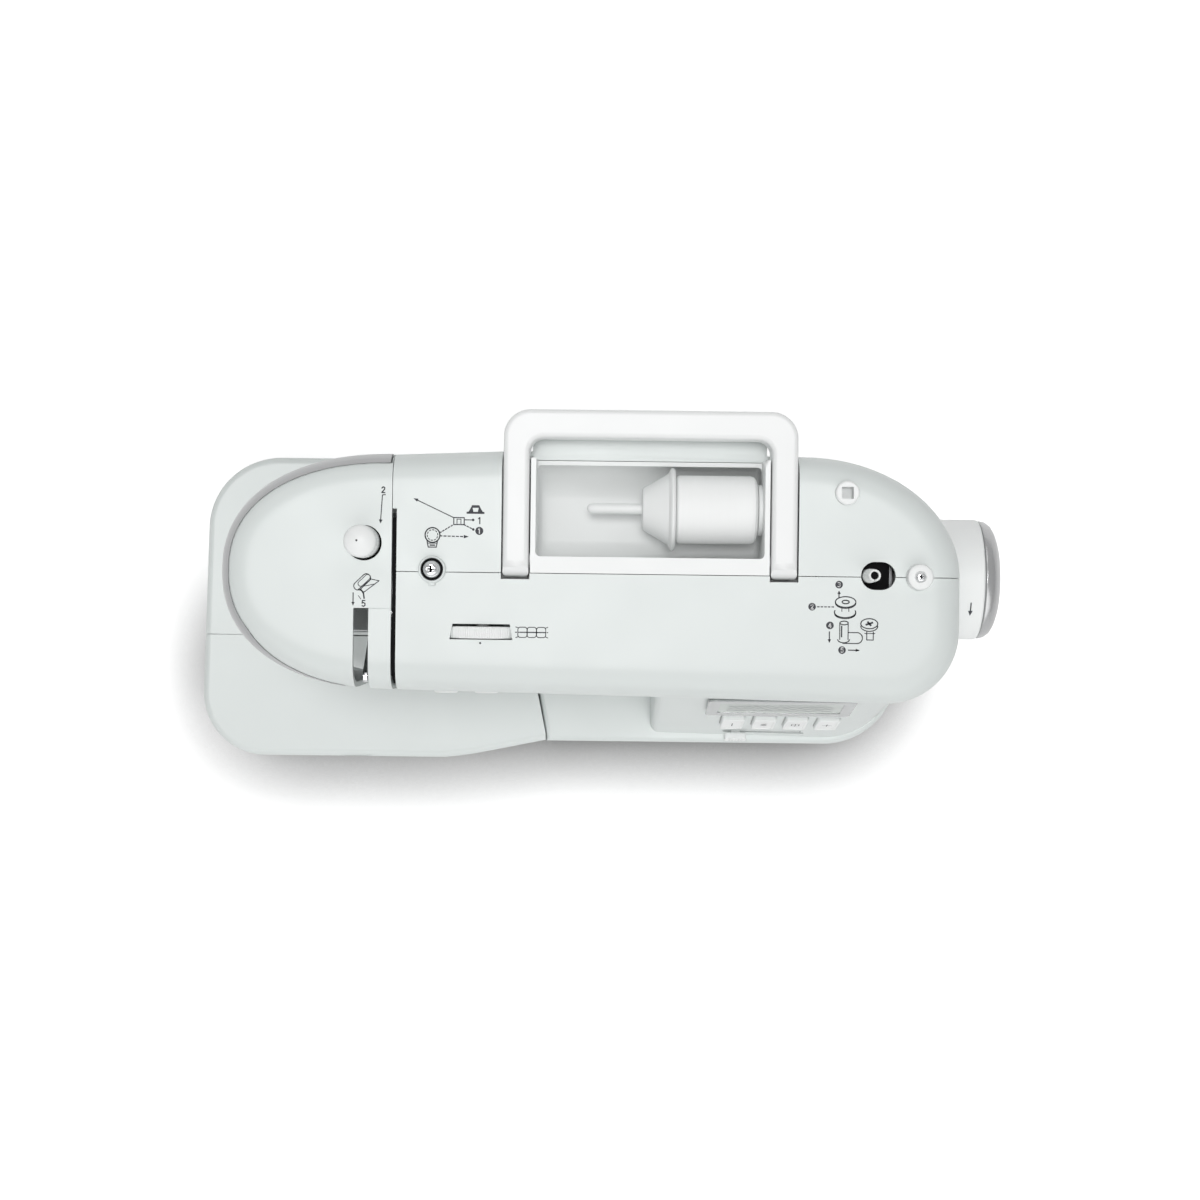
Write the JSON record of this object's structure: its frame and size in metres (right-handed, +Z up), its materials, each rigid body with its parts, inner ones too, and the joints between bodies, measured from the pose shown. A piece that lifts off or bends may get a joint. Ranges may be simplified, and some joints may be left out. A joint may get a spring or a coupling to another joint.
{
  "type": "sewing machine",
  "caption": "Free-arm household sewing machine with a D-shaped head, folding carrying handle, lying spool pin, top thumbwheel, winder, handwheel and an accessory table with a lid.",
  "frame": {"origin": "under the middle of the machine, on the surface it stands on", "axes": "+X towards the handwheel, +Y towards the rear, away from the person sewing, +Z up"},
  "size_m": [0.413, 0.177, 0.303],
  "materials": {
    "body_white": "fine-grained moulded white plastic, satin gloss",
    "soft_white": "matt moulded off-white plastic",
    "silver_trim": "brushed silver",
    "steel": "ground and polished steel",
    "cast_metal": "die-cast, unpainted",
    "black_plastic": "black moulded plastic",
    "motor_black": "black painted motor housing",
    "rubber": "dark grey rubber",
    "display_grey": "tinted display window",
    "clear_plastic": "clear plastic",
    "thread": "white cotton thread, cross wound"
  },
  "bodies": {
    "machine": {"base_plate": "soft_white", "foot_1": "rubber", "foot_2": "rubber", "foot_3": "rubber", "foot_4": "rubber", "free_arm": "body_white", "needle_plate": "steel", "front_cover": "body_white", "rear_cover": "body_white", "face_cover": "body_white", "face_trim": "silver_trim", "spool_tray": "body_white", "main_frame": "cast_metal", "motor": "motor_black", "bobbin_case": "black_plastic", "display_window": "display_grey", "lamp_lens": "clear_plastic", "bobbin_tension_post": "steel", "bobbin_tension_disc": "steel", "bobbin_stop": "body_white", "extra_pin_socket": "soft_white", "power_inlet": "black_plastic", "spool_pin": "body_white", "drive_belt": "rubber", "timing_belt": "rubber"},
    "handle": {"carrying_handle": "body_white"},
    "spool_cap": {"spool_cap": "body_white"},
    "thread_spool": {"thread_spool": "thread"},
    "tension_dial": {"tension_dial": "body_white"},
    "pressure_dial": {"pressure_dial": "body_white"},
    "winder_carriage": {"winder_carriage": "black_plastic"},
    "winder_spindle": {"winder_spindle": "body_white"},
    "handwheel": {"handwheel": "body_white", "handwheel_ring": "silver_trim", "upper_shaft": "steel"},
    "motor_pulley": {"motor_pulley": "steel"},
    "lower_shaft": {"lower_shaft": "steel"},
    "hook": {"hook": "steel"},
    "bobbin": {"bobbin": "clear_plastic"},
    "bobbin_cover": {"bobbin_cover": "clear_plastic"},
    "needle_bar": {"needle_bar": "steel", "needle_clamp": "steel", "needle": "steel"},
    "take_up_lever": {"take_up_lever": "steel"},
    "presser_bar": {"presser_bar": "steel", "foot_holder": "steel"},
    "presser_foot": {"presser_foot": "steel"},
    "presser_lever": {"presser_lever": "soft_white"},
    "feed_dog": {"feed_dog": "steel"},
    "reverse_button": {"reverse_button": "soft_white"},
    "start_button": {"start_button": "soft_white"},
    "speed_knob": {"speed_knob": "soft_white"},
    "power_switch": {"power_switch": "black_plastic"},
    "accessory_table": {"accessory_tray": "body_white"},
    "accessory_lid": {"accessory_lid": "body_white"},
    "pattern_key_1": {"pattern_key_1": "soft_white"},
    "pattern_key_2": {"pattern_key_2": "soft_white"},
    "pattern_key_3": {"pattern_key_3": "soft_white"},
    "pattern_key_4": {"pattern_key_4": "soft_white"}
  },
  "joints": [
    {"name": "handle_swing", "type": "hinge", "parent": "machine", "child": "handle", "pos_m": [0.0387, 0.0195, 0.277], "axis": [1, 0, 0], "range_deg": [0, 90]},
    {"name": "spool_cap_slide", "type": "slide", "parent": "machine", "child": "spool_cap", "axis": [-1, 0, 0], "range_m": [0, 0.045]},
    {"name": "spool_spin", "type": "hinge", "parent": "machine", "child": "thread_spool", "pos_m": [0.0701, 0.044, 0.262], "axis": [1, 0, 0], "continuous": true},
    {"name": "tension_turn", "type": "hinge", "parent": "machine", "child": "tension_dial", "pos_m": [-0.0388, -0.01465, 0.265], "axis": [0, 1, 0], "range_deg": [-150, 150]},
    {"name": "pressure_turn", "type": "hinge", "parent": "machine", "child": "pressure_dial", "pos_m": [-0.0934, 0.0265, 0.29], "axis": [0, 0, 1], "range_deg": [-150, 150]},
    {"name": "winder_engage", "type": "slide", "parent": "machine", "child": "winder_carriage", "axis": [1, 0, 0], "range_m": [0, 0.008]},
    {"name": "winder_spin", "type": "hinge", "parent": "winder_carriage", "child": "winder_spindle", "pos_m": [0.14, 0.0136, 0.29], "axis": [0, 0, 1], "continuous": true},
    {"name": "handwheel_spin", "type": "hinge", "parent": "machine", "child": "handwheel", "pos_m": [0.191, 0.013, 0.232], "axis": [1, 0, 0], "continuous": true},
    {"name": "motor_spin", "type": "hinge", "parent": "machine", "child": "motor_pulley", "pos_m": [0.158, -0.032, 0.052], "axis": [1, 0, 0], "continuous": true},
    {"name": "lower_shaft_spin", "type": "hinge", "parent": "machine", "child": "lower_shaft", "pos_m": [0, 0.013, 0.04], "axis": [1, 0, 0], "continuous": true},
    {"name": "hook_spin", "type": "hinge", "parent": "machine", "child": "hook", "pos_m": [-0.094, -0.002, 0.05], "axis": [0, 0, 1], "continuous": true},
    {"name": "bobbin_spin", "type": "hinge", "parent": "machine", "child": "bobbin", "pos_m": [-0.094, -0.002, 0.06], "axis": [0, 0, 1], "continuous": true},
    {"name": "bobbin_cover_lift", "type": "slide", "parent": "machine", "child": "bobbin_cover", "axis": [0, 0, 1], "range_m": [0, 0.03]},
    {"name": "needle_bar_stroke", "type": "slide", "parent": "machine", "child": "needle_bar", "axis": [0, 0, 1], "range_m": [-0.031, 0]},
    {"name": "take_up_swing", "type": "hinge", "parent": "machine", "child": "take_up_lever", "pos_m": [-0.094, -0.006, 0.216], "axis": [1, 0, 0], "range_deg": [0, 45]},
    {"name": "presser_lever_swing", "type": "hinge", "parent": "machine", "child": "presser_lever", "pos_m": [-0.091, 0.046, 0.152], "axis": [1, 0, 0], "range_deg": [0, 80]},
    {"name": "presser_bar_lift", "type": "slide", "parent": "machine", "child": "presser_bar", "axis": [0, 0, 1], "range_m": [0, 0.006]},
    {"name": "foot_tilt", "type": "hinge", "parent": "presser_bar", "child": "presser_foot", "pos_m": [-0.094, 0.026, 0.08], "axis": [1, 0, 0], "range_deg": [-5, 5]},
    {"name": "feed_stroke", "type": "slide", "parent": "machine", "child": "feed_dog", "axis": [0, 1, 0], "range_m": [-0.0025, 0.0025]},
    {"name": "reverse_press", "type": "slide", "parent": "machine", "child": "reverse_button", "axis": [0, 1, 0], "range_m": [0, 0.0015], "stiffness_N_per_m": 300},
    {"name": "start_press", "type": "slide", "parent": "machine", "child": "start_button", "axis": [0, 1, 0], "range_m": [0, 0.0015], "stiffness_N_per_m": 300},
    {"name": "speed_slide", "type": "slide", "parent": "machine", "child": "speed_knob", "axis": [1, 0, 0], "range_m": [0, 0.032]},
    {"name": "power_rock", "type": "hinge", "parent": "machine", "child": "power_switch", "pos_m": [0.183, 0.002, 0.044], "axis": [0, 1, 0], "range_deg": [-7, 7]},
    {"name": "table_slide", "type": "slide", "parent": "machine", "child": "accessory_table", "axis": [-1, 0, 0], "range_m": [0, 0.19]},
    {"name": "lid_swing", "type": "hinge", "parent": "accessory_table", "child": "accessory_lid", "pos_m": [-0.11245, -0.0845, 0.0125], "axis": [1, 0, 0], "range_deg": [0, 85]},
    {"name": "pattern_key_1_rock", "type": "hinge", "parent": "machine", "child": "pattern_key_1", "pos_m": [0.088, -0.06354, 0.118], "axis": [1, 0, 0], "range_deg": [-3, 3], "stiffness_Nm_per_rad": 0.2},
    {"name": "pattern_key_2_rock", "type": "hinge", "parent": "machine", "child": "pattern_key_2", "pos_m": [0.105, -0.06354, 0.118], "axis": [1, 0, 0], "range_deg": [-3, 3], "stiffness_Nm_per_rad": 0.2},
    {"name": "pattern_key_3_rock", "type": "hinge", "parent": "machine", "child": "pattern_key_3", "pos_m": [0.122, -0.06354, 0.118], "axis": [1, 0, 0], "range_deg": [-3, 3], "stiffness_Nm_per_rad": 0.2},
    {"name": "pattern_key_4_rock", "type": "hinge", "parent": "machine", "child": "pattern_key_4", "pos_m": [0.139, -0.06354, 0.118], "axis": [1, 0, 0], "range_deg": [-3, 3], "stiffness_Nm_per_rad": 0.2}
  ],
  "couplings": [
    {"joint": "motor_spin", "follows": "handwheel_spin", "ratio": 3.4286},
    {"joint": "lower_shaft_spin", "follows": "handwheel_spin", "ratio": 1},
    {"joint": "hook_spin", "follows": "handwheel_spin", "ratio": -2},
    {"joint": "take_up_swing", "follows": "needle_bar_stroke", "rad_per_m": -25.2},
    {"joint": "presser_lever_swing", "follows": "presser_bar_lift", "rad_per_m": 232.7}
  ]
}
